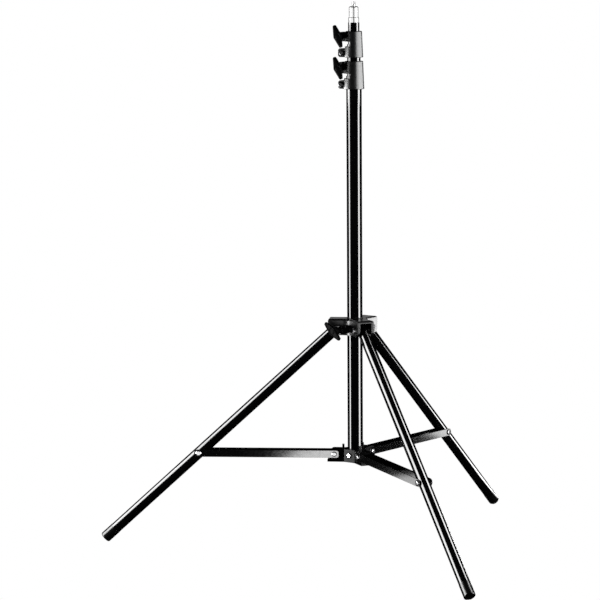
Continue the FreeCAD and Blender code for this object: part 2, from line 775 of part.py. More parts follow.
def make_leg_pivots():
    """One bolt through each fork, with its nut on the far cheek."""
    bolts = []
    nuts = []
    near_cheek = ("leg_pivot_radius", "-yoke_fork_width / 2", "leg_pivot_height")
    far_cheek = ("leg_pivot_radius", "yoke_fork_width / 2", "leg_pivot_height")
    shank = f"yoke_fork_width + {NUT_HEIGHT} + {SCREW_TAIL}"
    for azimuth in FORK_AZIMUTHS:
        bolt = rivet("leg_pivot_bolt", "pivot_bolt_radius", shank, *PIVOT_HEAD)
        place(bolt, azimuth, near_cheek, ((ROUND_X, "90"),))
        bolts.append(bolt)
        nut = hex_nut("leg_pivot_nut", "pivot_bolt_radius")
        place(nut, azimuth, far_cheek, ((ROUND_X, "-90"),))
        nuts.append(nut)
    keep(group("leg_pivot_bolts", bolts), "leg_pivot_bolts")
    keep(group("leg_pivot_nuts", nuts), "leg_pivot_nuts")


# ---------------------------------------------------------------- legs

BUSH_INNER = "3.1"
BUSH_OUTER = "4"
TOP_PLUG_DEPTH = "14"
TOP_PLUG_CAP = "3.5"
TOP_PLUG_ROUNDING = "3.4"
FOOT_CAP_GRIP = "22"
FOOT_ROUNDING = "2"


def stand_leg(item, azimuth):
    """A piece made along -Z from the leg's pivot, leaned out and set at the pivot."""
    place(item, azimuth, ("leg_pivot_radius", "0", "leg_pivot_height"), ((ROUND_Y, "-leg_angle"),))


def make_leg(name):
    azimuth = f"leg_azimuth_{name}"
    tube_bore = "leg_diameter / 2 - tube_wall"
    tube = ring(f"leg_tube_{name}", tube_bore, "leg_diameter / 2", "-leg_length", "leg_head")
    cut_through(tube, circle(tube, "XZ_Plane", "0", "0", PIVOT_HOLE), CROSSWISE)
    cut_through(tube, circle(tube, "XZ_Plane", "0", "-leg_brace_distance", BUSH_OUTER), CROSSWISE)
    stand_leg(tube, azimuth)
    keep(tube, f"leg_tube_{name}")

    plug = new_body(f"leg_top_plug_{name}")
    cap_top = f"leg_head + {TOP_PLUG_CAP}"
    revolve(plug, (
        ("0", f"-{TOP_PLUG_DEPTH}"),
        (tube_bore, f"-{TOP_PLUG_DEPTH}"),
        (tube_bore, "leg_head"),
        ("leg_diameter / 2", "leg_head"),
        ("leg_diameter / 2", cap_top),
        ("0", cap_top),
    ))
    round_edges(plug, TOP_PLUG_ROUNDING, level_at(value("leg_head") + float(TOP_PLUG_CAP)))
    cut_through(plug, circle(plug, "XZ_Plane", "0", "0", PIVOT_HOLE), CROSSWISE)
    stand_leg(plug, azimuth)
    keep(plug, f"leg_top_plug_{name}")

    half_width = "leg_diameter / 2"
    bush = ring(f"leg_cross_bush_{name}", BUSH_INNER, BUSH_OUTER, f"-{half_width}", half_width)
    place(bush, azimuth, (RIVET_RADIUS, "0", RIVET_HEIGHT), ((ROUND_X, "90"),))
    keep(bush, f"leg_cross_bush_{name}")

    cap = new_body(f"foot_moulding_{name}")
    grip = f"{FOOT_CAP_GRIP} - leg_length"
    revolve(cap, (
        ("0", "-foot_cap_end"),
        ("foot_cap_radius", "-foot_cap_end"),
        ("foot_cap_radius", grip),
        ("leg_diameter / 2", grip),
        ("leg_diameter / 2", "-leg_length"),
        ("0", "-leg_length"),
    ))
    round_edges(cap, FOOT_ROUNDING, level_at(-value("foot_cap_end")))
    stand_leg(cap, "0")
    floor = box(f"floor_{name}", ("leg_length", "100", "50"), ("leg_pivot_radius", "-50", "-50"))
    foot = cut(f"leg_foot_cap_{name}", cap, floor)
    place(foot, azimuth)
    keep(foot, f"leg_foot_cap_{name}")


# ---------------------------------------------------------------- braces

INNER_END = "-7.4"
OUTER_END = f"({BRACE_LENGTH} + 7.5)"
INNER_END_ROUNDING = "3.6"
OUTER_END_ROUNDING = "5.6"
RIVET_STUB = "0.5"


def stand_brace(item, name, offset=("0", "0", "0"), turn="0"):
    """A piece made along +X from the brace's pivot, set at that pivot on the brace's slope."""
    swing = f"placement(vector(0; 0; 0); rotation({ROUND_Z}; leg_azimuth_{name}))"
    pivot = "vector(brace_pivot_radius; 0; brace_pivot_height)"
    slope = f"placement({pivot}; rotation({ROUND_Y}; {BRACE_SLOPE}))"
    local = f"placement(vector({'; '.join(offset)}); rotation({ROUND_X}; {turn}))"
    places[item.Name] = f"{swing} * {slope} * {local}"
    bind(item, "Placement", places[item.Name])


def make_brace(name):
    """A channel, open below, whose cheeks straddle the tongue at one end and the leg at the other."""
    body = new_body(f"brace_channel_{name}")
    half_height = "brace_height / 2"
    web_bottom = f"({half_height} - brace_sheet)"
    past_inner = f"{INNER_END} - 1"
    past_outer = f"{OUTER_END} + 1"
    past_bottom = f"-{half_height} - 1"
    past_top = f"{half_height} + 1"

    def side_view(start, low, end, high):
        return outline(body, "XZ_Plane", ((start, low), (end, low), (end, high), (start, high)))

    blank = side_view(INNER_END, f"-{half_height}", OUTER_END, half_height)
    pad(body, blank, "brace_inner_width + 2 * brace_sheet")
    cut_through(body, side_view(past_inner, past_bottom, past_outer, web_bottom), "brace_inner_width")
    web_end = f"{BRACE_LENGTH} - brace_web_cut"
    for start, end in ((past_inner, "brace_web_start"), (web_end, past_outer)):
        cut_through(body, side_view(start, f"{web_bottom} - 1", end, past_top), "brace_inner_width")

    def across_sheet(edge):
        span = edge.BoundBox
        return span.XLength < 0.01 and span.ZLength < 0.01 and near(span.YLength, value("brace_sheet"))

    def inner_corner(edge):
        return across_sheet(edge) and middle(edge).x < 0

    def outer_corner(edge):
        return across_sheet(edge) and middle(edge).x > value("leg_brace_distance") / 2

    round_edges(body, OUTER_END_ROUNDING, outer_corner)
    round_edges(body, INNER_END_ROUNDING, inner_corner)
    cut_through(body, circle(body, "XZ_Plane", "0", "0", PIVOT_HOLE), CROSSWISE)
    cut_through(body, circle(body, "XZ_Plane", BRACE_LENGTH, "0", "pivot_bolt_radius"), CROSSWISE)
    stand_brace(body, name)
    keep(body, f"brace_channel_{name}")

    rivets = []
    for side, turn in (("-", "90"), ("", "-90")):
        head = rivet("brace_outer_rivet", "pivot_bolt_radius", f"brace_sheet + {RIVET_STUB}")
        cheek = f"{side}(brace_inner_width / 2 + brace_sheet)"
        stand_brace(head, name, (BRACE_LENGTH, cheek, "0"), turn)
        rivets.append(head)
    keep(group(f"brace_outer_rivets_{name}", rivets), f"brace_outer_rivets_{name}")


# ---------------------------------------------------------------- lower bracket

TONGUE_ROOT = "14"
TONGUE_WALL = "3"
TONGUE_ROOF = "4"
TONGUE_ROUNDING = "7"
CORE_START = "25"
CORE_END = "39.5"
POST_START = "18.8"
POST_END = "22.2"
POST_WIDTH = "4"
BRACKET_RIVET_HEAD = ("4.6", "2.4")
BRACKET_RIVET_TIP = "11"
PIN_HEAD = ("4.4", "2.2")
PIN_END_GAP = "0.1"


def make_bracket():
    """A hub with three flats and three tongues, riveted to the foot of the column."""
    body = new_body("bracket_moulding")
    half_tongue = "bracket_tongue_width / 2"
    root = f"((bracket_flat - {half_tongue} * sin(60)) / cos(60))"
    corners = []
    for turn in (0, 120, 240):
        for sign in ("-", ""):
            corners.append((
                f"{root} * cos({turn}) - {sign}{half_tongue} * sin({turn})",
                f"{root} * sin({turn}) + {sign}{half_tongue} * cos({turn})",
            ))
    hub = outline(body, "XY_Plane", corners)
    raise_sketch(hub, "(bracket_bottom + bracket_top) / 2")
    pad(body, hub, "bracket_top - bracket_bottom")

    tongue = pad(body, outline(body, "XZ_Plane", (
        (TONGUE_ROOT, "bracket_bottom"),
        ("bracket_lip_reach", "bracket_bottom"),
        ("bracket_lip_reach", "bracket_lip_top"),
        ("bracket_tongue_reach", "bracket_lip_top"),
        ("bracket_tongue_reach", "bracket_top"),
        (TONGUE_ROOT, "bracket_top"),
    )), "bracket_tongue_width")
    post = pad(body, outline(body, "XZ_Plane", (
        (POST_START, "bracket_top - 1"),
        (POST_END, "bracket_top - 1"),
        (POST_END, "bracket_post_top"),
        (POST_START, "bracket_post_top"),
    )), POST_WIDTH)
    three_round(body, [tongue, post])

    core = outline(body, "XZ_Plane", (
        (CORE_START, "bracket_bottom - 1"),
        (CORE_END, "bracket_bottom - 1"),
        (CORE_END, f"bracket_top - {TONGUE_ROOF}"),
        (CORE_START, f"bracket_top - {TONGUE_ROOF}"),
    ))
    core_cut = cut_through(body, core, f"bracket_tongue_width - 2 * {TONGUE_WALL}")
    three_round(body, [core_cut])
    hole = circle(body, "XZ_Plane", "brace_pivot_radius", "brace_pivot_height", "pivot_bolt_radius")
    hole_cut = cut_through(body, hole, "bracket_tongue_width + 4")
    three_round(body, [hole_cut])

    def tongue_end(edge):
        reach = value("bracket_tongue_reach")
        return level_at(value("bracket_top"))(edge) and near(middle_radius(edge), reach, 0.05)

    round_edges(body, TONGUE_ROUNDING, tongue_end)
    place(body, "leg_azimuth_rear")

    bore = column_bore("bracket_bore", COLUMN_RADIUS, "bracket_bottom", "bracket_top")
    bored = cut("bracket_bored", body, bore)
    keep(cut("brace_bracket", bored, bracket_rivet_shanks("bracket_rivet_holes")), "brace_bracket")

    rivets = []
    seat = ("bracket_flat", "0", BRACKET_RIVET_HEIGHT)
    shank = f"bracket_flat - {BRACKET_RIVET_TIP}"
    for azimuth in FORK_AZIMUTHS:
        piece = rivet("bracket_rivet", BRACKET_RIVET_RADIUS, shank, *BRACKET_RIVET_HEAD)
        place(piece, f"{azimuth} + 60", seat, ((ROUND_Y, "90"),))
        rivets.append(piece)
    keep(group("bracket_rivet_group", rivets), "bracket_rivets")

    pins = []
    half_pin = f"(brace_inner_width / 2 + brace_sheet + {PIN_END_GAP})"
    for azimuth in FORK_AZIMUTHS:
        halves = []
        for side, turn in (("-", "90"), ("", "-90")):
            half = rivet("brace_pivot_half", "pivot_bolt_radius", half_pin, *PIN_HEAD)
            cheek = ("brace_pivot_radius", f"{side}{half_pin}", "brace_pivot_height")
            place(half, offset=cheek, turns=((ROUND_X, turn),))
            halves.append(half)
        pin = fuse("brace_pivot_pin", halves)
        place(pin, azimuth)
        pins.append(pin)
    keep(group("brace_pivot_pin_group", pins), "brace_pivot_pins")


# ---------------------------------------------------------------- the stand

make_column()
make_spigot()
make_collar("lower", "outer_tube_diameter", "middle_tube_diameter")
make_collar("upper", "middle_tube_diameter", "inner_tube_diameter")
for collar_side in ("lower", "upper"):
    make_collar_knob(collar_side)
make_yoke()
make_leg_pivots()
for leg_name in LEG_NAMES:
    make_leg(leg_name)
    make_brace(leg_name)
make_bracket()
doc.recompute()

faults = []
for item in doc.Objects:
    if "Invalid" in item.State or "Error" in item.State:
        faults.append(f"{item.Label}: {item.State}")
for node, item in nodes.items():
    if item.Shape.isNull() or not item.Shape.isValid() or item.Shape.Volume <= 0:
        faults.append(f"{node}: its shape is empty or not valid")
if faults:
    raise RuntimeError("; ".join(faults))

os.makedirs("parts", exist_ok=True)
for node, item in nodes.items():
    item.Shape.exportStep(os.path.join("parts", f"{node}.step"))
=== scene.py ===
"""The light stand's looks: procedural materials, finely made knobs and stud, light and camera.

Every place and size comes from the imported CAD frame. Metres, +Z up.
"""

import json
import math

import bmesh
import bpy
from mathutils import Matrix, Vector

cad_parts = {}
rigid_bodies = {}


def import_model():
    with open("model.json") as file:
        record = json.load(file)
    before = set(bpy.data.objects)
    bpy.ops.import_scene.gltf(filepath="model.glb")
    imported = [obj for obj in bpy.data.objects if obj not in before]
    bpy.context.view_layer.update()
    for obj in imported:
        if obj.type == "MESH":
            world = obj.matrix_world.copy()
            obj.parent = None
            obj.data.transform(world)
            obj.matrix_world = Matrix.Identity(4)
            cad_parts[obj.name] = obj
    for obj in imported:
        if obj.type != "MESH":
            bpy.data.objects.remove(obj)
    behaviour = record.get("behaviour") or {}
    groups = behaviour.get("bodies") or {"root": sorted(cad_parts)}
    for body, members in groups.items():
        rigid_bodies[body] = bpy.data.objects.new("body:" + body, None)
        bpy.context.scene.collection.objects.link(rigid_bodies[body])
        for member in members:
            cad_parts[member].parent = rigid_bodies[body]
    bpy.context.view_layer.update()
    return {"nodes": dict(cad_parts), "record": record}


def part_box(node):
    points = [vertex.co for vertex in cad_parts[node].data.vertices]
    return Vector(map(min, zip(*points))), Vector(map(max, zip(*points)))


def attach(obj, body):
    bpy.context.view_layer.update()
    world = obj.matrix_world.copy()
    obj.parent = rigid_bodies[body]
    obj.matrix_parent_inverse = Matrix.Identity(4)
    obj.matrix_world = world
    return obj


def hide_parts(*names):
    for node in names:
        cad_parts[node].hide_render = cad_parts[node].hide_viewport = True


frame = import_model()
nodes = frame["nodes"]
joints = {joint["name"]: joint for joint in frame["record"]["behaviour"]["joints"]}
MM = 0.001
UP = Vector((0.0, 0.0, 1.0))


def middle_of(node):
    low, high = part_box(node)
    return (low + high) / 2


COLUMN = Vector((middle_of("outer_tube").x, middle_of("outer_tube").y, 0.0))


# ---------------------------------------------------------------- shader tools


KEEN_EDGE = 0.75
PLAIN_FACE = 0.98


class Shader:
    """A material under construction: a node tree with short ways to add and join nodes."""

    def __init__(self, name):
        self.material = bpy.data.materials.new(name)
        self.material.use_nodes = True
        self.tree = self.material.node_tree
        self.surface = self.tree.nodes["Principled BSDF"]
        self.place = self.add("ShaderNodeTexCoord").outputs["Object"]

    def add(self, kind, **settings):
        node = self.tree.nodes.new(kind)
        for name, value in settings.items():
            setattr(node, name, value)
        return node

    def join(self, source, target):
        self.tree.links.new(source, target)

    def set(self, **values):
        """Fixed inputs of the surface, written with underscores for spaces."""
        for name, value in values.items():
            self.surface.inputs[name.replace("_", " ")].default_value = value

    def noise(self, scale, detail=3.0, stretch=None):
        """Noise in object space; scale is in features per metre."""
        node = self.add("ShaderNodeTexNoise")
        node.inputs["Scale"].default_value = scale
        node.inputs["Detail"].default_value = detail
        place = self.place
        if stretch:
            mapping = self.add("ShaderNodeMapping")
            mapping.inputs["Scale"].default_value = stretch
            self.join(place, mapping.inputs["Vector"])
            place = mapping.outputs["Vector"]
        self.join(place, node.inputs["Vector"])
        return node.outputs["Fac"]

    def ramp(self, source, low, high, low_value, high_value):
        """Map a factor from low..high onto low_value..high_value, and hold it outside."""
        node = self.add("ShaderNodeMapRange")
        node.inputs["From Min"].default_value = low
        node.inputs["From Max"].default_value = high
        node.inputs["To Min"].default_value = low_value
        node.inputs["To Max"].default_value = high_value
        self.join(source, node.inputs["Value"])
        return node.outputs["Result"]

    def mix(self, factor, first, second):
        """Blend two colours, each a tuple or a socket, by a factor socket."""
        node = self.add("ShaderNodeMix", data_type="RGBA")
        inputs = [socket for socket in node.inputs if socket.type == "RGBA"]
        for target, colour in zip(inputs, (first, second)):
            if isinstance(colour, tuple):
                target.default_value = (*colour, 1.0)
            else:
                self.join(colour, target)
        self.join(factor, node.inputs["Factor"])
        return [socket for socket in node.outputs if socket.type == "RGBA"][0]

    def times(self, first, second):
        node = self.add("ShaderNodeMath", operation="MULTIPLY")
        self.join(first, node.inputs[0])
        self.join(second, node.inputs[1])
        return node.outputs[0]

    def bump(self, height, depth, edge=None):
        """Relief of a depth in metres, over edges softened by a small radius."""
        node = self.add("ShaderNodeBump")
        node.inputs["Distance"].default_value = depth
        self.join(height, node.inputs["Height"])
        if edge:
            bevel = self.add("ShaderNodeBevel", samples=4)
            bevel.inputs["Radius"].default_value = edge
            self.join(bevel.outputs["Normal"], node.inputs["Normal"])
        self.join(node.outputs["Normal"], self.surface.inputs["Normal"])

    def edges(self, radius):
        """1 on edges sharper than a radius, 0 elsewhere: worn edges, and painted edge highlights.

        It compares the true normal with one that is averaged over the radius.
        """
        bevel = self.add("ShaderNodeBevel", samples=4)
        bevel.inputs["Radius"].default_value = radius
        geometry = self.add("ShaderNodeNewGeometry")
        dot = self.add("ShaderNodeVectorMath", operation="DOT_PRODUCT")
        self.join(bevel.outputs["Normal"], dot.inputs[0])
        self.join(geometry.outputs["Normal"], dot.inputs[1])
        return self.ramp(dot.outputs["Value"], KEEN_EDGE, PLAIN_FACE, 1.0, 0.0)


# ---------------------------------------------------------------- materials


def gloss_paint():
    """Gloss black powder coat on tube: a trace of orange peel, faint rub marks along the tube."""
    shader = Shader("gloss_black_paint")
    tone = shader.noise(35.0, 4.0)
    shader.join(shader.mix(tone, (0.0006, 0.0006, 0.0007), (0.0016, 0.0016, 0.0018)),
                shader.surface.inputs["Base Color"])
    rub = shader.noise(160.0, 6.0, (1.0, 1.0, 0.06))
    shader.join(shader.ramp(rub, 0.35, 0.7, 0.06, 0.11), shader.surface.inputs["Roughness"])
    shader.bump(shader.noise(700.0, 2.0), 0.000001)
    return shader.material


def satin_moulding(name, roughness, shine, grain_depth):
    """Satin nylon moulding: spark eroded grain, edges paler: worn by handling, and a painted
    highlight.
    """
    shader = Shader(name)
    body = shader.mix(shader.noise(60.0, 4.0), (0.0016, 0.0016, 0.0018), (0.0035, 0.0035, 0.0038))
    # Painted edge highlight, together with edges worn paler by handling: edges lifted to grey in
    # patches.
    paler_edges = shader.times(shader.edges(0.0006), shader.noise(420.0, 5.0))
    shader.join(shader.mix(paler_edges, body, (0.03, 0.03, 0.032)), shader.surface.inputs["Base Color"])
    cloud = shader.noise(240.0, 5.0)
    shader.join(shader.ramp(cloud, 0.3, 0.7, roughness - 0.04, roughness + 0.05),
                shader.surface.inputs["Roughness"])
    shader.bump(shader.noise(2600.0, 2.0), grain_depth, edge=0.0007)
    shader.set(Specular_IOR_Level=shine)
    return shader.material


def sheet_paint():
    """Semi gloss paint on pressed sheet, a little rippled by the press, worn at its cut edges."""
    shader = Shader("sheet_black_paint")
    body = shader.mix(shader.noise(45.0, 3.0), (0.0015, 0.0015, 0.0016), (0.0035, 0.0035, 0.0036))
    worn = shader.ramp(shader.noise(500.0, 6.0), 0.5, 0.62, 0.0, 1.0)
    paler_edges = shader.times(shader.edges(0.0004), worn)
    shader.join(shader.mix(paler_edges, body, (0.12, 0.12, 0.125)), shader.surface.inputs["Base Color"])
    cloud = shader.noise(200.0, 5.0)
    shader.join(shader.ramp(cloud, 0.3, 0.7, 0.08, 0.12), shader.surface.inputs["Roughness"])
    shader.bump(shader.noise(90.0, 2.0, (0.4, 0.4, 1.0)), 0.000008, edge=0.0005)
    return shader.material


def bright_metal(name, tint, roughness):
    """Plated steel: fine turning marks, cloudy plating, a darker film in patches."""
    shader = Shader(name)
    film = shader.ramp(shader.noise(700.0, 5.0), 0.45, 0.75, 0.0, 1.0)
    dull = tuple(part * 0.8 for part in tint)
    shader.join(shader.mix(film, tint, dull), shader.surface.inputs["Base Color"])
    marks = shader.noise(2400.0, 3.0, (0.2, 0.2, 3.0))
    shader.join(shader.ramp(marks, 0.3, 0.7, roughness - 0.06, roughness + 0.06),
                shader.surface.inputs["Roughness"])
    shader.bump(marks, 0.000004, edge=0.0003)
    shader.set(Metallic=1.0)
    return shader.material


def soft_rubber():
    """Matt rubber, dusty where it meets the floor."""
    shader = Shader("matt_black_rubber")
    tone = shader.noise(220.0, 5.0)
    body = shader.mix(tone, (0.0012, 0.0012, 0.0012), (0.003, 0.003, 0.003))
    height = shader.add("ShaderNodeSeparateXYZ")
    shader.join(shader.place, height.inputs[0])
    near_floor = shader.ramp(height.outputs["Z"], 0.0, 0.004, 0.5, 0.0)
    dust = shader.times(near_floor, shader.noise(500.0, 5.0))
    shader.join(shader.mix(dust, body, (0.10, 0.095, 0.09)), shader.surface.inputs["Base Color"])
    shader.join(shader.ramp(tone, 0.3, 0.7, 0.16, 0.24), shader.surface.inputs["Roughness"])
    shader.bump(shader.noise(1600.0, 3.0), 0.000003, edge=0.0006)
    shader.set(Specular_IOR_Level=0.4)
    return shader.material


def waxy_nylon():
    """Self lubricating liners and guides: dark, waxy."""
    shader = Shader("dark_nylon")
    tone = shader.noise(120.0, 3.0)
    shader.join(shader.mix(tone, (0.004, 0.004, 0.004), (0.01, 0.01, 0.01)),
                shader.surface.inputs["Base Color"])
    shader.join(shader.ramp(tone, 0.3, 0.7, 0.4, 0.55), shader.surface.inputs["Roughness"])
    shader.bump(shader.noise(1500.0, 2.0), 0.00001)
    return shader.material


FINISH = {
    "tube_black": gloss_paint(),
    "moulding_black": satin_moulding("satin_black_moulding", 0.31, 0.6, 0.000003),
    "knob_black": satin_moulding("satin_black_knob", 0.3, 0.07, 0.000006),
    "sheet_black": sheet_paint(),
    "rubber_black": soft_rubber(),
    "zinc_bright": bright_metal("bright_zinc", (0.8, 0.8, 0.81), 0.3),
    "stud_bright": bright_metal("bright_nickel", (0.95, 0.95, 0.95), 0.2),
    "liner_dark": waxy_nylon(),
    "insert_brass": bright_metal("turned_brass", (0.83, 0.66, 0.34), 0.3),
}


def dress(piece, material, sharp_angle=35.0):
    """Give a mesh one material, and smooth shading broken at its true edges."""
    piece.data.materials.clear()
    piece.data.materials.append(material)
    for polygon in piece.data.polygons:
        polygon.use_smooth = True
    piece.data.set_sharp_from_angle(angle=math.radians(sharp_angle))


SCREW_FINISH = bright_metal("dull_zinc", (0.34, 0.34, 0.35), 0.3)
for subpart in frame["record"]["subparts"]:
    finish = SCREW_FINISH if "fixing_screw" in subpart["node"] else FINISH[subpart["material_slot"]]
    dress(nodes[subpart["node"]], finish)


# ---------------------------------------------------------------- mesh tools


def to_mesh(bm, name):
    bmesh.ops.recalc_face_normals(bm, faces=bm.faces)
    mesh = bpy.data.meshes.new(name)
    bm.to_mesh(mesh)
    bm.free()
    return mesh


def new_piece(name, bm, matrix, slot, body, replaced=None):
    """Put a finished mesh on its body, in its material, in place of a CAD node if one is named."""
    mesh = to_mesh(bm, name)
    mesh.transform(matrix)
    piece = bpy.data.objects.new(name, mesh)
    bpy.context.scene.collection.objects.link(piece)
    dress(piece, FINISH[slot])
    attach(piece, body)
    if replaced:
        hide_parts(replaced)
    return piece


def stand_on(along, across, origin):
    """The matrix that carries local Z onto along, and local X onto across, at an origin."""
    third = along.cross(across)
    turn = Matrix((across, third, along)).transposed().to_4x4()
    return Matrix.Translation(origin) @ turn


def bridge(bm, first, second):
    """Faces between two closed rings of as many points; a ring of one point is a tip."""
    count = max(len(first), len(second))
    for step in range(count):
        corners = []
        for ring, index in ((first, step), (first, step + 1), (second, step + 1), (second, step)):
            vertex = ring[index % len(ring)]
            if vertex not in corners:
                corners.append(vertex)
        bm.faces.new(corners)


def lathe(bm, profile, steps=64):
    """Turn a profile of (radius, height) pairs about Z; a radius of 0 closes that end."""
    before = None
    for radius, height in profile:
        ring = []
        for step in range(steps if radius > 0 else 1):
            angle = 2 * math.pi * step / steps
            ring.append(bm.verts.new((radius * math.cos(angle), radius * math.sin(angle), height)))
        if before:
            bridge(bm, before, ring)
        before = ring


def thread(bm, root, crest, pitch, start, end, steps=32):
    """A helical ridge of triangular section round Z, faded in and out at its ends."""
    sunk = root * 0.98
    half_base = 0.45 * pitch
    total = int((end - start) / pitch * steps)
    before = None
    for step in range(total + 1):
        angle = 2 * math.pi * step / steps
        height = start + pitch * step / steps
        fade = min(1.0, 2 * step / steps, 2 * (total - step) / steps)
        top = root + (crest - root) * fade
        section = []
        for radius, lift in ((sunk, -half_base), (top, 0.0), (sunk, half_base)):
            corner = (radius * math.cos(angle), radius * math.sin(angle), height + lift)
            section.append(bm.verts.new(corner))
        if before:
            for side in (0, 1):
                bm.faces.new((before[side], section[side], section[side + 1], before[side + 1]))
        before = section


def rounded(corners, steps=6):
    """An outline of (x, y, radius) corners, each rounded with an arc."""
    outline = []
    count = len(corners)
    for index, (x, y, radius) in enumerate(corners):
        here = Vector((x, y))
        before = (Vector(corners[index - 1][:2]) - here).normalized()
        after = (Vector(corners[(index + 1) % count][:2]) - here).normalized()
        half = before.angle(after) / 2
        centre = here + (before + after).normalized() * radius / math.sin(half)
        start = here + before * radius / math.tan(half) - centre
        end = here + after * radius / math.tan(half) - centre
        sweep = math.atan2(start.x * end.y - start.y * end.x, start.dot(end))
        for step in range(steps + 1):
            outline.append(centre + Matrix.Rotation(sweep * step / steps, 2) @ start)
    return outline


# ---------------------------------------------------------------- wing knobs

COLLAR_WINGS = (39 * MM, 15 * MM)
YOKE_WINGS = (42 * MM, 16 * MM)
WING_THICKNESS = 5.0 * MM
WING_TIP = 2.4 * MM
TIP_ROUNDING = 1.8 * MM
WAIST_ROUNDING = 6 * MM
THINNING_TO_TIP = 0.3
SOFT_EDGE = 1.0 * MM
HALF_SOFT_EDGE = 0.3 * MM
HUB_INSIDE_WINGS = 0.8 * MM
HUB_RIM = 2.2 * MM


def add_wings(bm, length, width, top):
    """Two wings, narrower and thinner to their tips, with crowned faces."""
    half_length, half_width = length / 2, width / 2
    corners = []
    for sign in (1, -1):
        corners += [
            (0.0, -sign * half_width, WAIST_ROUNDING),
            (sign * half_length, -sign * WING_TIP, TIP_ROUNDING),
            (sign * half_length, sign * WING_TIP, TIP_ROUNDING),
        ]
    outline = rounded(corners)
    layers = (
        (0.0, SOFT_EDGE),
        (HALF_SOFT_EDGE, HALF_SOFT_EDGE),
        (SOFT_EDGE, 0.0),
        (WING_THICKNESS - SOFT_EDGE, 0.0),
        (WING_THICKNESS - HALF_SOFT_EDGE, HALF_SOFT_EDGE),
        (WING_THICKNESS, SOFT_EDGE),
    )
    rings = []
    for height, inset in layers:
        ring = []
        for point in outline:
            reach = point.length
            pulled = point * (1 - inset / reach)
            thinning = 1.0 - THINNING_TO_TIP * (reach / half_length) ** 2
            lift = (height - WING_THICKNESS / 2) * thinning + WING_THICKNESS / 2
            ring.append(bm.verts.new((pulled.x, pulled.y, top - WING_THICKNESS + lift)))
        rings.append(ring)
    for first, second in zip(rings, rings[1:]):
        bridge(bm, first, second)
    for ring, face in ((rings[0], top - WING_THICKNESS), (rings[-1], top)):
        inner = [bm.verts.new((v.co.x * 0.5, v.co.y * 0.5, (v.co.z + 3 * face) / 4)) for v in ring]
        bridge(bm, ring, inner)
        bridge(bm, inner, [bm.verts.new((0.0, 0.0, face))])


def wing_knob(node, joint_name, length, width, across):
    """A moulded wing knob: a tapered hub, two wings, and a cap sunk in a ring on the hub's face."""
    joint = joints[joint_name]
    axis = Vector(joint["axis"])
    along = [Vector(vertex.co).dot(axis) for vertex in nodes[node].data.vertices]
    depth = max(along) - min(along)
    hub_middle = middle_of(node)
    foot = hub_middle + axis * (min(along) - hub_middle.dot(axis))
    bm = bmesh.new()
    add_wings(bm, length, width, depth)
    hub = width / 2 - HUB_INSIDE_WINGS
    cap = hub - HUB_RIM
    lathe(bm, (
        (0.0, 0.0),
        (hub - 1.4 * MM, 0.0),
        (hub - 0.9 * MM, 0.5 * MM),
        (hub, depth - WING_THICKNESS),
        (hub, depth - 0.6 * MM),
        (hub - 0.4 * MM, depth + 0.1 * MM),
        (cap + 0.6 * MM, depth + 0.2 * MM),
        (cap + 0.3 * MM, depth - 0.5 * MM),
        (cap, depth - 0.5 * MM),
        (cap - 0.3 * MM, depth + 0.1 * MM),
        (cap - 1.6 * MM, depth + 0.4 * MM),
        (0.0, depth + 0.5 * MM),
    ))
    new_piece(f"{node}_moulded", bm, stand_on(axis, across, foot), "knob_black", joint["child"], node)


def wing_direction(axis, from_up):
    """The direction of the wings, turned from straight up about the knob's axis."""
    sideways = UP.cross(axis).normalized()
    angle = math.radians(from_up)
    return UP * math.cos(angle) + sideways * math.sin(angle)


COLLAR_WING_TURN = -19.0
YOKE_WING_TURN = -52.0
for collar in ("lower", "upper"):
    joint_name = f"{collar}_wing_knob_turn"
    collar_axis = Vector(joints[joint_name]["axis"])
    wing_knob(f"{collar}_collar_knob", joint_name, *COLLAR_WINGS,
              wing_direction(collar_axis, COLLAR_WING_TURN))
yoke_axis = Vector(joints["yoke_wing_knob_turn"]["axis"])
wing_knob("yoke_knob", "yoke_wing_knob_turn", *YOKE_WINGS, wing_direction(yoke_axis, YOKE_WING_TURN))


# ---------------------------------------------------------------- stud


TUBE_WALL = 1.5 * MM
MOUNT_MARGIN = 0.5 * MM
THREAD_DEPTH = 0.55 * MM
THREAD_PITCH = 1.27 * MM
SHOULDER_CHAMFER = 1.6 * MM
SEAT_CHAMFER = 0.6 * MM


def add_stud():
    """The five eighths stud as it leaves the lathe, with its neck and its rolled thread."""
    mounts = {mount["name"]: mount for mount in frame["record"]["mounts"]}
    stud, screw = mounts["stud"], mounts["stud_thread"]
    low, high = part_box("spigot_stud")
    flange = (high.x - low.x) / 2
    top = high.z
    radius = stud["dims"]["r_mm"] * MM
    crest = screw["dims"]["r_mm"] * MM
    root = crest - THREAD_DEPTH
    half_height = stud["dims"]["length_mm"] * MM / 2 + MOUNT_MARGIN
    shoulder = stud["pos_m"][2] + half_height
    seat = stud["pos_m"][2] - half_height
    tube_low, tube_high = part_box("inner_tube")
    tube_top = tube_high.z
    plug = (tube_high.x - tube_low.x) / 2 - TUBE_WALL
    bm = bmesh.new()
    lathe(bm, (
        (0.0, low.z),
        (plug, low.z),
        (plug, tube_top),
        (flange - 0.3 * MM, tube_top),
        (flange, tube_top + 0.3 * MM),
        (flange, seat - SEAT_CHAMFER),
        (flange - SEAT_CHAMFER, seat),
        (radius, seat),
        (radius, shoulder - SHOULDER_CHAMFER),
        (radius - SHOULDER_CHAMFER, shoulder),
        (crest + 0.2 * MM, shoulder),
        (root, shoulder + 0.4 * MM),
        (root, top - 0.4 * MM),
        (root - 0.5 * MM, top),
        (0.0, top),
    ))
    thread(bm, root, crest, THREAD_PITCH, shoulder + 1.1 * MM, top - 0.7 * MM)
    new_piece("spigot_stud_turned", bm, Matrix.Translation(COLUMN), "stud_bright", "inner_section",
              "spigot_stud")


add_stud()


# ---------------------------------------------------------------- stage, light and camera

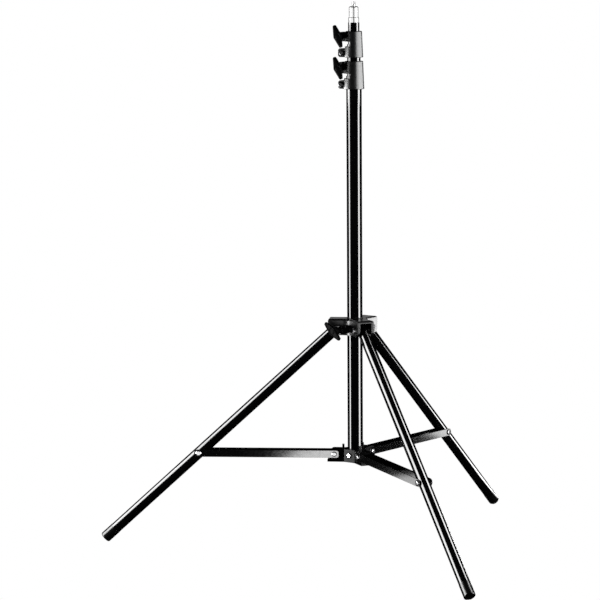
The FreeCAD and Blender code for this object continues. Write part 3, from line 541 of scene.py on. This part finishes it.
CAMERA_PLACE = COLUMN + Vector((0.467, -4.666, 1.046))
CAMERA_YAW = math.radians(6.85)
CAMERA_PITCH = math.radians(-7.54)
CAMERA_ROLL = math.radians(-0.37)
CAMERA_LENS = 167.4
RIGHT = Vector((math.cos(CAMERA_YAW), math.sin(CAMERA_YAW), 0.0))
TOWARD_CAMERA = Vector((math.sin(CAMERA_YAW), -math.cos(CAMERA_YAW), 0.0))
STUDIO_RADIUS = 1.6
WASH_RADIUS = 1.3
CARD_HEIGHT = 0.005
LOW_BAND = (-0.3, 0.66)
COLLAR_BAND = (0.66, 1.0)


def seen_by_camera(tree):
    return tree.nodes.new("ShaderNodeLightPath").outputs["Is Camera Ray"]


def add_floor():
    """A pale floor that the camera sees as evenly white, and that the gloss paint doesn't mirror."""
    bm = bmesh.new()
    bmesh.ops.create_grid(bm, x_segments=4, y_segments=4, size=30.0)
    floor = bpy.data.objects.new("floor", to_mesh(bm, "floor"))
    bpy.context.scene.collection.objects.link(floor)
    shader = Shader("pale_floor")
    shader.join(shader.mix(shader.noise(0.7, 2.0), (0.80, 0.80, 0.80), (0.84, 0.84, 0.84)),
                shader.surface.inputs["Base Color"])
    shader.set(Roughness=0.9)
    white = shader.add("ShaderNodeEmission")
    choice = shader.add("ShaderNodeMixShader")
    shader.join(seen_by_camera(shader.tree), choice.inputs["Fac"])
    shader.join(shader.surface.outputs["BSDF"], choice.inputs[1])
    shader.join(white.outputs["Emission"], choice.inputs[2])
    shader.join(choice.outputs["Shader"], shader.tree.nodes["Material Output"].inputs["Surface"])
    floor.data.materials.append(shader.material)
    floor.visible_glossy = False


def add_world():
    """White behind the stand, and dark in its reflections."""
    world = bpy.data.worlds.new("studio")
    bpy.context.scene.world = world
    world.use_nodes = True
    background = world.node_tree.nodes["Background"]
    background.inputs["Color"].default_value = (1.0, 1.0, 1.0, 1.0)
    world.node_tree.links.new(seen_by_camera(world.node_tree), background.inputs["Strength"])


def pieces_named(*words):
    """The pieces with any of the given words in their names, as a set that a light can be kept to."""
    group = bpy.data.collections.new("_".join(words))
    for item in bpy.data.objects:
        if item.type == "MESH" and any(word in item.name for word in words):
            group.objects.link(item)
    return group


def all_but(*words):
    """The same kind of set, for a light that lights everything else."""
    group = pieces_named(*words)
    for member in group.collection_objects:
        member.light_linking.link_state = "EXCLUDE"
    return group


def place_light(name, place, turn, size, radiance, only=None):
    """A rectangular light that shows in reflections, but not to the camera itself."""
    data = bpy.data.lights.new(name, "AREA")
    data.shape = "RECTANGLE"
    data.size, data.size_y = size
    data.energy = radiance * math.pi * size[0] * size[1]
    light = bpy.data.objects.new(name, data)
    light.location = place
    light.rotation_euler = turn
    light.visible_camera = False
    if only:
        light.light_linking.receiver_collection = only
    bpy.context.scene.collection.objects.link(light)


def from_column(right, ahead, height):
    """A place by its distances from the column: to the camera's right, towards it, and up."""
    return COLUMN + RIGHT * right + TOWARD_CAMERA * ahead + UP * height


def add_upright(name, angle, span, heights, radiance, only=None, distance=STUDIO_RADIUS):
    """A standing softbox; angle and span are degrees round the column, from the camera's side."""
    turn = math.radians(angle)
    middle = sum(heights) / 2
    place = from_column(distance * math.sin(turn), distance * math.cos(turn), middle)
    facing = (COLUMN + UP * middle - place).to_track_quat("-Z", "Y").to_euler()
    width = 2 * distance * math.tan(math.radians(span / 2))
    place_light(name, place, facing, (width, heights[1] - heights[0]), radiance, only)


def add_card(name, rights, aheads, radiance, only):
    """A bright card laid on the floor, between two distances to the right and two ahead."""
    place = from_column(sum(rights) / 2, sum(aheads) / 2, CARD_HEIGHT)
    size = (rights[1] - rights[0], aheads[1] - aheads[0])
    place_light(name, place, (math.pi, 0.0, CAMERA_YAW), size, radiance, only)


def add_tube_lights():
    """Softboxes that draw the white lines on the tubes, one pair for each band of heights."""
    dim = ("brace_bracket", "yoke_knob_moulded")
    add_upright("softbox_left", -81.5, 21.0, LOW_BAND, 19.0, all_but(*dim))
    add_upright("bracket_light", -81.5, 21.0, LOW_BAND, 4.5, pieces_named(*dim))
    add_upright("softbox_right", 71.0, 26.0, LOW_BAND, 19.0)
    tubes = pieces_named("tube", "foot_cap")
    column = pieces_named("inner_tube", "middle_tube", "outer_tube")
    add_upright("upper_softbox_left", -88.0, 37.0, COLLAR_BAND, 20.0, tubes)
    add_upright("upper_softbox_right", 78.0, 32.0, COLLAR_BAND, 20.0, column)
    add_upright("high_softbox_left", -84.0, 34.0, (1.0, 1.6), 19.0, tubes)
    add_upright("high_softbox_right", 100.0, 20.0, (1.6, 3.2), 19.0, tubes)
    legs = pieces_named("leg_tube", "leg_foot_cap")
    add_card("rear_leg_card", (0.4, 1.6), (-0.85, -0.33), 19.0, legs)


def add_moulding_lights():
    """Broad soft lights for the satin mouldings, and one below each collar for its lugs."""
    collars = pieces_named("collar_body")
    add_upright("collar_wash", 76.0, 88.0, (0.2, 1.2), 9.0, collars, WASH_RADIUS)
    for side in ("lower", "upper"):
        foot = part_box(f"{side}_collar_body")[0].z
        add_upright(f"{side}_lug_light", -105.0, 60.0, (foot - 0.03, foot), 26.0,
                    pieces_named(f"{side}_collar_body"), 0.15)
    yoke = pieces_named("leg_yoke")
    add_upright("yoke_wash", 108.0, 46.0, (-0.2, 0.8), 10.0, yoke, WASH_RADIUS)
    add_upright("yoke_back_light", -155.0, 90.0, (0.3, 1.0), 0.45, yoke)
    add_upright("yoke_fill", 10.0, 70.0, (-0.5, 0.6), 1.3, yoke)


def add_small_part_lights():
    """Cards that the flat braces mirror, and weak fills for the stud and the rivets."""
    braces = pieces_named("brace_channel")
    add_card("left_brace_card", (-0.305, 0.0), (0.6, 1.05), 14.5, braces)
    add_card("front_brace_card", (-0.65, -0.35), (-0.325, 0.0), 3.4, braces)
    add_card("rear_brace_card", (0.75, 1.25), (-0.8, -0.45), 8.5, braces)
    stud = pieces_named("spigot_stud")
    for side, angle in (("left", -70.0), ("right", 70.0)):
        add_upright(f"stud_wrap_{side}", angle, 120.0, (0.4, 1.3), 0.95, stud, 0.5)
    rivets = pieces_named("rivets", "pivot_pins", "pivot_bolts")
    add_upright("rivet_fill", 0.0, 80.0, (-0.5, 0.4), 1.5, rivets)


def add_camera():
    data = bpy.data.cameras.new("camera")
    data.lens = CAMERA_LENS
    data.sensor_width = 36.0
    data.clip_end = 200.0
    camera = bpy.data.objects.new("camera", data)
    camera.matrix_world = (
        Matrix.Translation(CAMERA_PLACE)
        @ Matrix.Rotation(CAMERA_YAW, 4, "Z")
        @ Matrix.Rotation(math.pi / 2 + CAMERA_PITCH, 4, "X")
        @ Matrix.Rotation(CAMERA_ROLL, 4, "Z")
    )
    bpy.context.scene.collection.objects.link(camera)
    bpy.context.scene.camera = camera


add_floor()
add_world()
add_tube_lights()
add_moulding_lights()
add_small_part_lights()
add_camera()
bpy.context.scene.view_settings.view_transform = "Standard"
